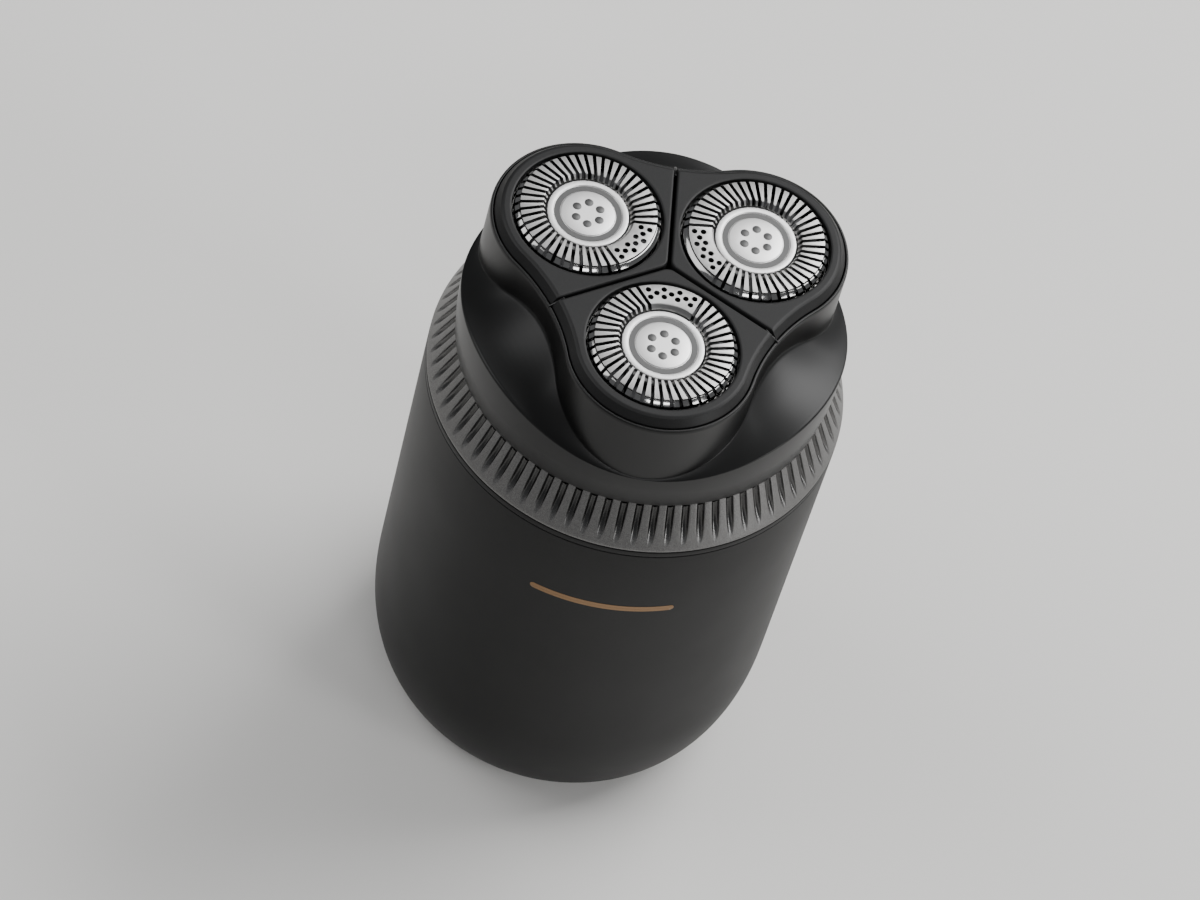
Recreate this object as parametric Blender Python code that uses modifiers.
"""Pocket rotary shaver with three floating cutters: the solids of every piece, in metres, +Z up.

The origin is the centre of the face it stands on, and the front lobe of the head points along -Y.
Profiles, boxes and heights below are written in millimetres, and MM turns them into metres.
"""

import math

import bmesh
import bpy
from mathutils import Matrix, Vector

MM = 0.001

# Driving dimensions, in millimetres.
BODY_R = 31.4           # outer radius of the housing
BODY_FLAT_R = 19.6      # where the rounded bottom meets the flat base
DOME_Z = 23.0           # height at which the rounded bottom starts
DOME_POWER = 2.4        # superellipse power of the rounded bottom
WALL = 1.8              # wall of the housing
SHELL_TOP_Z = 76.9
LOBE_OFFSET = 14.25     # each cutter's centre from the centre line
FACE_Z = 104.4          # flat face of the three petals
GUARD_Z = 105.2         # shaving face, the highest point
LOBES = (-90.0, 30.0, 150.0)
BETWEEN_LOBES = (-30.0, 90.0, 210.0)
RIM_INNER_R = 13.55     # lobe radius of the skirt's opening
PETAL_GAP = 0.55        # groove between two petals
HINGE_R = 3.6           # petal hinge pins, from the centre line
HINGE_Z = 98.0
GEAR_MODULE = 0.75
CENTRE_TEETH = 12
PLANET_TEETH = 26
GEAR_BOTTOM_Z = 87.2
GEAR_TOP_Z = 89.8
PRESSURE_ANGLE = math.radians(20)
BACKLASH = 0.16

BIG_STEPS = 32          # facets round the housing
SMALL_STEPS = 24        # facets round a cutter part
TINY_STEPS = 8         # facets round a pin or a screw

MATERIALS = {
    "soft_black": ((0.018, 0.018, 0.019), 0.55, 0.0),
    "satin_black": ((0.015, 0.015, 0.016), 0.38, 0.0),
    "dark_metal": ((0.09, 0.088, 0.085), 0.45, 0.8),
    "steel": ((0.72, 0.72, 0.73), 0.22, 1.0),
    "bright_cap": ((0.78, 0.78, 0.79), 0.30, 1.0),
    "inner_plastic": ((0.22, 0.22, 0.23), 0.5, 0.0),
    "acetal": ((0.82, 0.81, 0.77), 0.45, 0.0),
    "rubber": ((0.03, 0.03, 0.03), 0.8, 0.0),
    "board_green": ((0.03, 0.16, 0.08), 0.5, 0.0),
    "chip_black": ((0.02, 0.02, 0.02), 0.5, 0.0),
    "cell_wrap": ((0.05, 0.17, 0.42), 0.4, 0.0),
    "nickel": ((0.66, 0.64, 0.58), 0.3, 1.0),
    "lens": ((0.85, 0.86, 0.88), 0.2, 0.0),
    "wire": ((0.55, 0.04, 0.03), 0.5, 0.0),
}


# ---------------------------------------------------------------- helpers

def start_scene():
    """Empties the scene and makes the two collections."""
    for obj in list(bpy.data.objects):
        bpy.data.objects.remove(obj, do_unlink=True)
    for name in ("rotary_shaver", "cutters"):
        bpy.context.scene.collection.children.link(bpy.data.collections.new(name))


def material(name):
    found = bpy.data.materials.get(name)
    if found:
        return found
    colour, roughness, metallic = MATERIALS[name]
    made = bpy.data.materials.new(name)
    made.use_nodes = True
    shader = made.node_tree.nodes["Principled BSDF"]
    shader.inputs["Base Color"].default_value = (*colour, 1.0)
    shader.inputs["Roughness"].default_value = roughness
    shader.inputs["Metallic"].default_value = metallic
    return made


def add(name, mesh, finish=None):
    """A part of the object, or a hidden tool where no finish is given."""
    obj = bpy.data.objects.new(name, mesh)
    bpy.data.collections["rotary_shaver" if finish else "cutters"].objects.link(obj)
    if finish:
        mesh.materials.append(material(finish))
    else:
        obj.hide_render = True
        obj.display_type = "WIRE"
    return obj


def mesh_of(name, bm):
    mesh = bpy.data.meshes.new(name)
    bm.to_mesh(mesh)
    bm.free()
    return mesh


def turned(name, profile, finish=None, steps=SMALL_STEPS, at=(0, 0, 0)):
    """A solid of revolution. The (radius, height) profile starts at the top and runs down its outer side."""
    mesh = bpy.data.meshes.new(name)
    points = [(r * MM, 0, z * MM) for r, z in profile]
    edges = [(i, i + 1) for i in range(len(points) - 1)]
    if min(profile[0][0], profile[-1][0]) > 0:
        edges.append((len(points) - 1, 0))
    mesh.from_pydata(points, edges, [])
    obj = add(name, mesh, finish)
    screw = obj.modifiers.new("turn", "SCREW")
    screw.axis = "Z"
    screw.angle = math.tau
    screw.steps = screw.render_steps = steps
    screw.use_merge_vertices = True
    screw.merge_threshold = 1e-6
    screw.use_normal_calculate = False
    obj.location = Vector(at) * MM
    return obj


def rods(name, places, radius, low, high, finish=None, sides=TINY_STEPS, turn=0.1):
    """Upright cylinders, or prisms where sides is small, of one radius at each (x, y)."""
    bm = bmesh.new()
    for x, y in places:
        middle = Matrix.Translation(Vector((x, y, (low + high) / 2)) * MM) @ Matrix.Rotation(turn, 4, "Z")
        bmesh.ops.create_cone(bm, cap_ends=True, segments=sides, radius1=radius * MM,
                              radius2=radius * MM, depth=(high - low) * MM, matrix=middle)
    return add(name, mesh_of(name, bm), finish)


def boxes(name, blocks, finish=None):
    """Blocks, each given as (x range, y range, z range)."""
    bm = bmesh.new()
    for spans in blocks:
        centre = Vector([(a + b) / 2 for a, b in spans]) * MM
        size = [(b - a) * MM for a, b in spans]
        bmesh.ops.create_cube(bm, size=1.0, matrix=Matrix.Translation(centre) @ Matrix.Diagonal((*size, 1.0)))
    return add(name, mesh_of(name, bm), finish)


def flat_plate(name, outline, low, high, finish=None):
    """A plate with the closed (x, y) outline, between two heights, from a filled 2D curve."""
    curve = bpy.data.curves.new(name, "CURVE")
    curve.dimensions = "2D"
    curve.fill_mode = "BOTH"
    curve.extrude = (high - low) / 2 * MM
    spline = curve.splines.new("POLY")
    spline.points.add(len(outline) - 1)
    for point, (x, y) in zip(spline.points, outline):
        point.co = (x * MM, y * MM, 0, 1)
    spline.use_cyclic_u = True
    drawn = bpy.data.objects.new(name + "_curve", curve)
    bpy.context.scene.collection.objects.link(drawn)
    bpy.context.view_layer.update()
    mesh = bpy.data.meshes.new_from_object(drawn.evaluated_get(bpy.context.evaluated_depsgraph_get()))
    bpy.data.objects.remove(drawn)
    bm = bmesh.new()
    bm.from_mesh(mesh)
    bmesh.ops.remove_doubles(bm, verts=bm.verts, dist=1e-7)
    bmesh.ops.translate(bm, verts=bm.verts, vec=(0, 0, (low + high) / 2 * MM))
    bmesh.ops.recalc_face_normals(bm, faces=bm.faces)
    bm.to_mesh(mesh)
    bm.free()
    mesh.materials.clear()
    return add(name, mesh, finish)


def tube(name, route, radius, finish):
    """A round wire along a list of (x, y, z)."""
    curve = bpy.data.curves.new(name, "CURVE")
    curve.dimensions = "3D"
    curve.bevel_depth = radius * MM
    curve.bevel_resolution = 2
    curve.use_fill_caps = True
    spline = curve.splines.new("POLY")
    spline.points.add(len(route) - 1)
    for point, place in zip(spline.points, route):
        point.co = (*(Vector(place) * MM), 1)
    obj = bpy.data.objects.new(name, curve)
    bpy.data.collections["rotary_shaver"].objects.link(obj)
    curve.materials.append(material(finish))
    return obj


def loft(name, rings, finish=None):
    """A closed solid through rings of equal length. The last ring joins the first, so the rings go round a wall."""
    bm = bmesh.new()
    rows = [[bm.verts.new(Vector(p) * MM) for p in ring] for ring in rings]
    count = len(rings[0])
    for row, following in zip(rows, rows[1:] + rows[:1]):
        for i in range(count):
            j = (i + 1) % count
            bm.faces.new((row[i], following[i], following[j], row[j]))
    bmesh.ops.recalc_face_normals(bm, faces=bm.faces)
    return add(name, mesh_of(name, bm), finish)


def combine(obj, tool, operation="DIFFERENCE"):
    """Cuts obj with a tool, or joins the tool to it."""
    change = obj.modifiers.new(operation.lower() + "_" + tool.name, "BOOLEAN")
    change.operation = operation
    change.solver = "EXACT"
    change.object = tool
    return obj


def bevel(obj, width):
    edge = obj.modifiers.new("edge", "BEVEL")
    edge.width = width * MM
    edge.segments = 1
    edge.limit_method = "ANGLE"


def axis_empty(name, x=0.0, y=0.0, z=0.0, turn=0.0):
    """An empty on a joint's axis, which the moving pieces hang from."""
    empty = bpy.data.objects.new(name, None)
    bpy.data.collections["rotary_shaver"].objects.link(empty)
    empty.location = Vector((x, y, z)) * MM
    empty.rotation_euler.z = turn
    return empty


def hang(parent, *children):
    """Parents pieces to an axis without moving them."""
    bpy.context.view_layer.update()
    for child in children:
        child.parent = parent
        child.matrix_parent_inverse = parent.matrix_world.inverted()


def around(radius, angles):
    """(x, y) places at one radius, at angles in degrees."""
    return [(radius * math.cos(math.radians(a)), radius * math.sin(math.radians(a))) for a in angles]


# ---------------------------------------------------------------- outlines

def dome(radius, flat, top, bottom, steps):
    """(r, z) points of the rounded bottom, from the straight side down to the flat."""
    points = []
    for i in range(steps + 1):
        angle = math.pi / 2 * i / steps
        across = max(math.cos(angle), 0.0) ** (2 / DOME_POWER)
        down = math.sin(angle) ** (2 / DOME_POWER)
        points.append((flat + (radius - flat) * across, top - (top - bottom) * down))
    return points


def trefoil_radius(angle, lobe_r, neck_r):
    """Distance from the centre to the three-lobed outline: lobe arcs joined by hollow neck arcs."""
    reach = lobe_r + neck_r
    neck_at = LOBE_OFFSET / 2 + math.sqrt(reach ** 2 - 0.75 * LOBE_OFFSET ** 2)
    turn = (angle - math.radians(LOBES[0])) % (math.tau / 3)
    off_lobe = min(turn, math.tau / 3 - turn)
    off_neck = math.pi / 3 - off_lobe
    touch = math.atan2(lobe_r * neck_at * math.sin(math.pi / 3) / reach,
                       LOBE_OFFSET + lobe_r * (neck_at * 0.5 - LOBE_OFFSET) / reach)
    if off_lobe <= touch:
        across = LOBE_OFFSET * math.sin(off_lobe)
        return LOBE_OFFSET * math.cos(off_lobe) + math.sqrt(lobe_r ** 2 - across ** 2)
    across = neck_at * math.sin(off_neck)
    return neck_at * math.cos(off_neck) - math.sqrt(neck_r ** 2 - across ** 2)


RING_ANGLES = [math.tau * i / 48 for i in range(48)]


def polar_ring(radius_at, height_at):
    """A closed ring of points whose radius and height are numbers or functions of the angle."""
    ring = []
    for angle in RING_ANGLES:
        r = radius_at(angle) if callable(radius_at) else radius_at
        z = height_at(angle) if callable(height_at) else height_at
        ring.append((r * math.cos(angle), r * math.sin(angle), z))
    return ring


def trefoil(lobe_r, neck_r, height):
    return polar_ring(lambda a: trefoil_radius(a, lobe_r, neck_r), height)


def between(angle):
    """0 in front of a lobe, 1 half way between two lobes."""
    return 0.5 - 0.5 * math.cos(3 * (angle - math.radians(LOBES[0])))


def involute(angle):
    return math.tan(angle) - angle


def gear_outline(teeth, turn):
    """The involute outline of a spur gear, one tooth centred on the angle turn."""
    pitch_r = GEAR_MODULE * teeth / 2
    base_r = pitch_r * math.cos(PRESSURE_ANGLE)
    root_r = pitch_r - 1.25 * GEAR_MODULE
    tip_r = pitch_r + 0.85 * GEAR_MODULE
    thickness = math.pi * GEAR_MODULE / 2 - BACKLASH

    def half_tooth(r):
        at = math.acos(min(1.0, base_r / max(r, base_r)))
        return thickness / (2 * pitch_r) + involute(PRESSURE_ANGLE) - involute(at)

    radii = (root_r, tip_r)
    outline = []
    for i in range(teeth):
        middle = turn + math.tau * i / teeth
        for side, order in ((-1, radii), (1, radii[::-1])):
            for r in order:
                angle = middle + side * half_tooth(r)
                outline.append((r * math.cos(angle), r * math.sin(angle)))
    return outline


# ---------------------------------------------------------------- housing

USB_SIZE = (8.94, 3.26)
BOARD_POSTS = [(-6.5, 0), (6.5, 0)]
DECK_SCREWS = around(16.5, LOBES)
MAGNET_R = (20.0, 23.4)


def stadium(width, height, steps=5):
    """Outline with two straight sides and round ends, as a charging socket has."""
    radius = height / 2
    points = []
    for side, start in ((1, -math.pi / 2), (-1, math.pi / 2)):
        for i in range(steps + 1):
            angle = start + math.pi * i / steps
            points.append((side * (width / 2 - radius) + radius * math.cos(angle), radius * math.sin(angle)))
    return points


def make_housing():
    outside = [(31.0, SHELL_TOP_Z), (BODY_R, 76.3)] + dome(BODY_R, BODY_FLAT_R, DOME_Z, 0.4, 6)
    inside = dome(BODY_R - WALL, BODY_FLAT_R, DOME_Z, 0.4 + WALL, 4)[::-1]
    turned("outer_shell", outside + [(19.3, 0.4), (19.3, 0.4 + WALL)] + inside + [(BODY_R - WALL, SHELL_TOP_Z)],
           "soft_black", BIG_STEPS)

    base = turned("base_cap", [(0, 3.4), (17.6, 3.4), (17.6, 2.5), (19.0, 2.5), (19.0, 0.4), (18.0, 0.4),
                               (18.0, 1.2), (15.2, 1.2), (15.2, 0.4), (0, 0.4)], "satin_black", BIG_STEPS)
    combine(base, flat_plate("socket_cut", stadium(9.7, 4.0), -1, 5))
    combine(base, rods("board_posts", BOARD_POSTS, 1.2, 3.0, 8.2), "UNION")
    combine(base, rods("light_hole", [(11.0, 0)], 1.3, -1, 5))
    turned("foot_ring", [(17.7, 0.9), (17.7, 0), (15.5, 0), (15.5, 0.9)], "rubber", BIG_STEPS)
    turned("light_guide", [(0, 4.2), (1.6, 4.2), (1.6, 3.7), (1.0, 3.7), (1.0, 0.5), (0, 0.5)], "lens",
           TINY_STEPS, (11.0, 0, 0))

    socket = flat_plate("usb_socket", stadium(*USB_SIZE), 0.9, 8.2, "steel")
    combine(socket, flat_plate("socket_hollow", stadium(USB_SIZE[0] - 0.6, USB_SIZE[1] - 0.6), 0, 7.8))
    combine(socket, boxes("tongue", [((-3.3, 3.3), (-0.35, 0.35), (1.9, 8.0))]), "UNION")
    boxes("usb_board", [((-8, 8), (-6, 6), (8.5, 9.4))], "board_green")


def make_screw(name, place, head_low, head_high, end):
    """A small pan head screw that points down."""
    screw = rods(name, [place], 1.9, head_low, head_high, "steel")
    return combine(screw, rods(name + "_shank", [place], 0.85, end, head_low + 0.3), "UNION")


def make_frame():
    """The two halves of the inner frame, which clasp the cell and the motor."""
    section = [(25.2, 73.8), (25.2, 72.4), (13.8, 72.4), (13.8, 47.2), (10.8, 46.2), (10.8, 11.6), (9.4, 11.6),
               (9.4, 46.6), (12.4, 47.2), (12.4, 72.4), (4.4, 72.4), (4.4, 73.8)]
    for name, side in (("frame_left", -1), ("frame_right", 1)):
        frame = turned(name, section, "inner_plastic")
        combine(frame, rods(name + "_posts", DECK_SCREWS, 2.3, 73.0, 81.6), "UNION")
        combine(frame, rods(name + "_post_holes", DECK_SCREWS, 1.15, 75.5, 83))
        combine(frame, boxes(name + "_window", [((-5, 5), (5, 16), (42.5, 50))]))
        combine(frame, boxes(name + "_half", [((-0.15, 40) if side < 0 else (-40, 0.15), (-40, 40), (0, 90))]))


def make_power():
    """Cell, boards, wiring and motor."""
    cell = turned("battery_cell", [(0, 45.6), (8.6, 45.6), (9.0, 45.0), (9.0, 11.6), (8.6, 11.0), (0, 11.0)],
                  "cell_wrap")
    combine(cell, boxes("cell_tabs", [((-1.5, 1.5), (-2, 11.9), (10.7, 11.2)),
                                      ((-1.5, 1.5), (-2, 11.9), (45.4, 45.9))]), "UNION")
    board = boxes("main_board", [((-11, 11), (12.2, 13.3), (9.8, 44.0))], "board_green")
    combine(board, boxes("board_parts", [((-6, 0), (13.0, 14.7), (28, 34)), ((3, 8), (13.0, 16.6), (20, 25)),
                                         ((-8, -5), (13.0, 15.2), (14, 17)), ((-3, 3), (13.0, 15.0), (35, 39)),
                                         ((4, 8), (13.0, 14.4), (30, 33))]), "UNION")
    for name, x in (("motor_lead_left", -3.2), ("motor_lead_right", 3.2)):
        tube(name, [(x, 7.5, 46.9), (x, 11.2, 46.9), (x, 12.3, 46.4), (x, 12.75, 45.6), (x, 12.75, 44.4)],
             0.35, "wire")
    sensor = boxes("ring_sensor", [((-1.6, 1.6), (27.0, 28.6), (72.4, 74.0))], "chip_black")
    combine(sensor, boxes("sensor_flex", [((-0.9, 0.9), (27.3, 27.7), (40.0, 73.0))]), "UNION")
    combine(sensor, boxes("sensor_flex_foot", [((-0.9, 0.9), (13.6, 27.6), (40.0, 40.5))]), "UNION")

    turned("motor_can", [(3.0, 74.2), (3.0, 72.0), (12.0, 72.0), (12.0, 47.6), (11.2, 47.6), (11.2, 71.2),
                         (1.4, 71.2), (1.4, 74.2)], "steel")
    turned("motor_end_cap", [(10.9, 49.6), (10.9, 47.7), (1.4, 47.7), (1.4, 49.6)], "inner_plastic")
    for name, cut_away in (("motor_magnet_front", (-2.5, 40)), ("motor_magnet_back", (-40, 2.5))):
        magnet = turned(name, [(10.8, 69.0), (10.8, 51.0), (9.2, 51.0), (9.2, 69.0)], "chip_black")
        combine(magnet, boxes(name + "_cut", [((-20, 20), cut_away, (50, 70))]))
    rotor = turned("rotor", [(0, 86.0), (1.0, 86.0), (1.0, 67.5), (8.3, 67.5), (8.3, 53.5), (2.6, 53.5),
                             (2.6, 50.2), (1.0, 50.2), (1.0, 48.0), (0, 48.0)], "steel", 24)
    coupler = rods("drive_coupler", [(0, 0)], 2.4, 84.3, 88.3, "acetal", 6)
    combine(coupler, rods("coupler_bore", [(0, 0)], 1.3, 80, 86.6))
    hang(axis_empty("motor_axis"), rotor, coupler)


def magnet_ring(name, clear, low, high, finish=None):
    """The flat ring, or its groove, that holds the head to the housing."""
    inner, outer = MAGNET_R[0] - clear, MAGNET_R[1] + clear
    return turned(name, [(outer, high), (outer, low), (inner, low), (inner, high)], finish, BIG_STEPS)


def make_deck():
    """The housing's top plate, and the twist ring that runs round it."""
    deck = turned("deck", [(27.3, 83.8), (27.3, 80.1), (28.3, 80.1), (28.3, 78.6), (27.2, 78.6), (27.2, 76.6),
                           (29.3, 76.6), (29.3, 74.4), (25.6, 74.4), (25.6, 82.0), (4.2, 82.0), (4.2, 83.8)], "satin_black", BIG_STEPS)
    combine(deck, rods("deck_holes", DECK_SCREWS, 1.2, 81, 85))
    combine(deck, rods("deck_head_holes", DECK_SCREWS, 2.2, 82.6, 85))
    combine(deck, magnet_ring("deck_groove", 0.3, 82.7, 85))
    magnet_ring("housing_magnet", 0, 83.0, 83.7, "nickel")
    for number, place in enumerate(DECK_SCREWS, start=1):
        make_screw(f"deck_screw_{number}", place, 82.9, 83.7, 76.5)
    turned("shaft_seal", [(3.9, 83.6), (3.9, 82.0), (1.35, 82.0), (1.35, 82.6), (2.6, 83.6)], "rubber", 24)

    ring = turned("power_ring", [(28.1, 84.2), (28.4, 83.9), (31.2, 77.7), (31.1, 77.2), (28.9, 77.2), (28.9, 80.4),
                                 (27.7, 80.4), (27.7, 84.2)], "dark_metal", BIG_STEPS)
    combine(ring, boxes("ring_pocket", [((-1.8, 1.8), (29.1, 30.7), (77, 79.2))]))
    retainer = turned("ring_retainer", [(28.6, 78.3), (28.6, 77.3), (27.6, 77.3), (27.6, 78.3)], "inner_plastic",
                      BIG_STEPS)
    magnet = boxes("ring_magnet", [((-1.5, 1.5), (29.4, 30.4), (77.4, 78.9))], "nickel")
    hang(axis_empty("ring_axis"), ring, retainer, magnet)


# ---------------------------------------------------------------- head

def make_skirt():
    """The scalloped cover: round at the ring, three-lobed at the top, with hollows between the lobes."""
    lobe_low, neck_high = 91.2, 98.1
    rings = [
        polar_ring(28.0, 84.6),
        polar_ring(28.75, lambda a: 90.2 + 3.8 * between(a)),
        polar_ring(28.6, lambda a: lobe_low + 3.6 * between(a)),
        polar_ring(lambda a: 0.5 * (28.6 + trefoil_radius(a, 14.25, 26)),
                   lambda a: lobe_low + 5.4 * between(a)),
        polar_ring(lambda a: trefoil_radius(a, 14.2, 27), lambda a: lobe_low + (neck_high - lobe_low) * between(a)),
        trefoil(14.1, 28, 102.5),
        trefoil(13.95, 28, 103.0),
        trefoil(RIM_INNER_R, 29, 103.0),
        trefoil(RIM_INNER_R, 29, 99.2),
        polar_ring(lambda a: trefoil_radius(a, 13.0, 29), lambda a: 89.6 + 6.8 * between(a)),
        polar_ring(lambda a: 0.5 * (27.0 + trefoil_radius(a, 13.0, 29)), lambda a: 89.2 + 5.6 * between(a)),
        polar_ring(27.0, lambda a: 88.8 + 3.6 * between(a)),
        polar_ring(26.7, 84.6),
    ]
    return loft("head_skirt", rings, "satin_black")


def make_gear_case():
    """Gear plate, cover, centre gear and the hinge post on top."""
    posts = around(20.5, BETWEEN_LOBES)
    plate = turned("gear_plate", [(26.2, 86.8), (26.2, 84.8), (3.8, 84.8), (3.8, 86.8)], "inner_plastic", BIG_STEPS)
    combine(plate, rods("planet_pins", around(LOBE_OFFSET, LOBES), 1.2, 86.0, 88.6), "UNION")
    combine(plate, rods("cover_posts", posts, 1.9, 86.2, 90.1), "UNION")
    combine(plate, rods("cover_stakes", posts, 1.1, 89.5, 91.5), "UNION")
    combine(plate, magnet_ring("plate_groove", 0.3, 84, 86.0))
    magnet_ring("keeper_ring", 0, 84.9, 85.7, "steel")
    cover = turned("gear_cover", [(25.0, 91.6), (25.0, 90.4), (1.3, 90.4), (1.3, 91.6)], "inner_plastic", BIG_STEPS)
    combine(cover, rods("spindle_holes", around(LOBE_OFFSET, LOBES), 2.7, 89, 93, sides=16))
    combine(cover, rods("cover_holes", posts, 1.4, 89, 93))

    gear = flat_plate("centre_gear", gear_outline(CENTRE_TEETH, math.radians(LOBES[0])), GEAR_BOTTOM_Z, GEAR_TOP_Z,
                      "acetal")
    combine(gear, rods("centre_hub", [(0, 0)], 3.4, 85.1, 88.0, sides=24), "UNION")
    combine(gear, rods("centre_pin", [(0, 0)], 0.9, 89.0, 91.2), "UNION")
    combine(gear, rods("centre_socket", [(0, 0)], 2.85, 84, 88.9, sides=6))
    hang(axis_empty("centre_gear_axis"), gear)

    post = turned("hinge_post", [(0, 96.0), (5.4, 96.0), (5.4, 94.6), (2.6, 93.6), (2.6, 91.9), (0, 91.9)],
                  "inner_plastic", 16)
    for i, angle in enumerate(LOBES):
        turn = Matrix.Rotation(math.radians(angle), 4, "Z")
        ears = boxes(f"ears_{i}", [((2.5, 4.8), (s - 0.4, s + 0.4), (95.4, 98.9)) for s in (-2.2, 2.2)])
        ears.matrix_world = turn
        combine(post, ears, "UNION")
        bore = rods(f"ear_bore_{i}", [(0, 0)], 0.9, -4, 4)
        bore.matrix_world = turn @ Matrix.Translation(Vector((HINGE_R, 0, HINGE_Z)) * MM) @ Matrix.Rotation(
            math.pi / 2, 4, "X")
        combine(post, bore)


def petal_tool(index, angle):
    """The 120 degree wedge that one petal fills, drawn in by half the groove."""
    far = 60.0
    inset = PETAL_GAP / 2 / math.sin(math.pi / 3)
    corners = [(inset, 0)]
    for turn in (-60, -30, 0, 30, 60):
        corners.append((inset + far * math.cos(math.radians(turn)), far * math.sin(math.radians(turn))))
    wedge = flat_plate(f"petal_wedge_{index}", corners, 90, 110)
    wedge.rotation_euler.z = math.radians(angle)
    return wedge


def make_petal(index, angle):
    """One third of the lobed face, with the hole that its cutter stands in."""
    rings = [
        polar_ring(0.4, FACE_Z),
        trefoil(12.3, 31, FACE_Z),
        trefoil(13.2, 29, 103.4),
        trefoil(13.2, 29, 99.5),
        trefoil(12.3, 30, 99.5),
        trefoil(12.3, 30, 102.4),
        polar_ring(0.4, 102.4),
    ]
    petal = loft(f"petal_{index}", rings, "satin_black")
    combine(petal, petal_tool(index, angle), "INTERSECT")
    x, y = around(LOBE_OFFSET, [angle])[0]
    combine(petal, rods(f"petal_hole_{index}", [(x, y)], 11.15, 98, 108, sides=SMALL_STEPS))
    return petal


def make_cutter_frame(index, angle):
    """The ring under a petal that carries the guard, with the lug and pins that it tilts on."""
    x, y = around(LOBE_OFFSET, [angle])[0]
    frame = turned(f"cutter_frame_{index}", [(12.0, 102.0), (12.0, 99.3), (9.9, 99.3), (9.9, 99.9), (11.75, 99.9),
                                             (11.75, 102.0)], "inner_plastic", SMALL_STEPS, (x, y, 0))
    turn = Matrix.Rotation(math.radians(angle), 4, "Z")
    lug = boxes(f"lug_{index}", [((2.65, 4.5), (-1.3, 1.3), (97.1, 99.6))])
    lug.matrix_world = turn
    combine(frame, lug, "UNION")
    pin = rods(f"hinge_pin_{index}", [(0, 0)], 0.6, -2.6, 2.6)
    pin.matrix_world = turn @ Matrix.Translation(Vector((HINGE_R, 0, HINGE_Z)) * MM) @ Matrix.Rotation(
        math.pi / 2, 4, "X")
    return combine(frame, pin, "UNION")


def make_guard(index, x, y):
    """The steel ring that the hair enters, and the cap in its middle."""
    guard = turned(f"guard_{index}", [(9.95, GUARD_Z), (10.8, 104.5), (10.8, 101.9), (11.45, 101.9), (11.45, 101.2),
                                      (10.3, 101.2), (10.2, 104.6), (6.9, 104.8), (6.9, 103.3), (6.3, 103.3),
                                      (6.3, 104.6), (6.65, GUARD_Z)],
                   "steel", SMALL_STEPS, (x, y, 0))
    cap = turned(f"guard_cap_{index}", [(0, 104.4), (5.9, 104.4), (6.0, 104.2), (6.0, 103.4), (0, 103.4)],
                 "bright_cap", SMALL_STEPS, (x, y, 0))
    return guard, cap


BLADES = 12
BLADE_LEAN = math.radians(24)


def make_cutter(index, x, y, angle):
    """The spinning inner cutter: a hub with a hexagonal socket, a disc, and leaning blades."""
    cutter = turned(f"cutter_{index}", [(0, 102.9), (2.7, 102.9), (2.7, 102.7), (9.6, 102.7), (9.6, 102.0),
                                        (2.7, 102.0), (2.7, 98.6), (0, 98.6)], "steel", 16, (x, y, 0))
    bm = bmesh.new()
    for i in range(BLADES):
        place = (Matrix.Translation(Vector((x, y, 0)) * MM)
                 @ Matrix.Rotation(math.tau * i / BLADES, 4, "Z")
                 @ Matrix.Translation(Vector((8.35, 0, 103.4)) * MM)
                 @ Matrix.Rotation(BLADE_LEAN, 4, "X"))
        bmesh.ops.create_cube(bm, size=1.0, matrix=place @ Matrix.Diagonal((2.5 * MM, 0.5 * MM, 2.1 * MM, 1.0)))
    combine(cutter, add(f"blades_{index}", mesh_of("blades", bm)), "UNION")
    socket = rods(f"cutter_socket_{index}", [(x, y)], 1.9, 98, 102.2, sides=6)
    return combine(cutter, socket)


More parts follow.
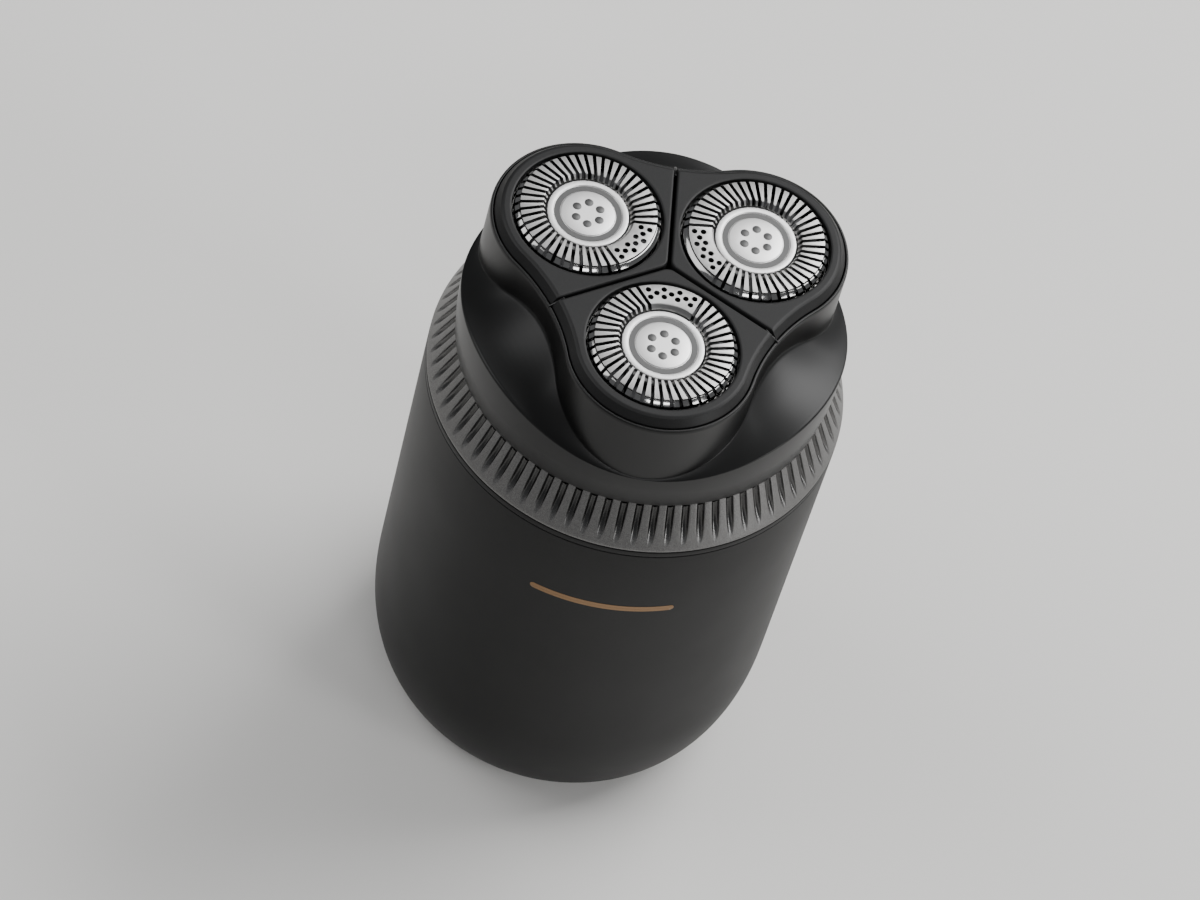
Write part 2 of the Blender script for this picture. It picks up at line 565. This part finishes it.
def make_drive(index, x, y, angle):
    """Planet gear with its sleeve, the hexagonal spindle in it, and the spindle's spring."""
    mesh_turn = math.radians(angle) + math.pi * (1 + 1 / PLANET_TEETH)
    gear = flat_plate(f"spindle_gear_{index}", gear_outline(PLANET_TEETH, mesh_turn), GEAR_BOTTOM_Z, GEAR_TOP_Z,
                      "acetal")
    gear.location = Vector((x, y, 0)) * MM
    combine(gear, rods(f"sleeve_{index}", [(x, y)], 2.3, 89.0, 92.5, sides=16), "UNION")
    combine(gear, rods(f"gear_bore_{index}", [(x, y)], 1.5, 86, 89.0))
    combine(gear, rods(f"sleeve_bore_{index}", [(x, y)], 1.45, 89.6, 93.0))
    spindle = rods(f"drive_spindle_{index}", [(x, y)], 1.1, 89.9, 100.2, "steel", 6)
    combine(spindle, rods(f"collar_{index}", [(x, y)], 2.3, 95.4, 96.0), "UNION")
    turns, per_turn, radius = 3, 6, 1.9
    helix = []
    for i in range(turns * per_turn + 1):
        turn = math.tau * i / per_turn
        helix.append((x + radius * math.cos(turn), y + radius * math.sin(turn),
                      93.05 + 1.95 * i / (turns * per_turn)))
    spring = tube(f"spindle_spring_{index}", helix, 0.2, "steel")
    return gear, spindle, spring


def make_lobe(index, angle):
    x, y = around(LOBE_OFFSET, [angle])[0]
    turn = math.radians(angle)
    hinge_x, hinge_y = around(HINGE_R, [angle])[0]
    hinge = axis_empty(f"petal_hinge_{index}", hinge_x, hinge_y, HINGE_Z, turn)
    hang(hinge, make_petal(index, angle), make_cutter_frame(index, angle))
    guard_slide = axis_empty(f"guard_slide_{index}", x, y, FACE_Z, turn)
    hang(guard_slide, *make_guard(index, x, y))
    cutter_axis = axis_empty(f"cutter_axis_{index}", x, y, FACE_Z, turn)
    hang(cutter_axis, make_cutter(index, x, y, angle))
    gear_axis = axis_empty(f"spindle_axis_{index}", x, y, GEAR_BOTTOM_Z, turn)
    hang(gear_axis, *make_drive(index, x, y, angle))
    hang(guard_slide, cutter_axis)
    hang(hinge, guard_slide)


def shade_round_parts():
    for obj in bpy.data.collections["rotary_shaver"].objects:
        if obj.type == "MESH" and obj.data.polygons:
            obj.data.shade_smooth()
            obj.data.set_sharp_from_angle(angle=math.radians(35))


def main():
    start_scene()
    make_housing()
    make_frame()
    make_power()
    make_deck()
    make_skirt()
    make_gear_case()
    for number, angle in enumerate(LOBES, start=1):
        make_lobe(number, angle)
    shade_round_parts()


main()
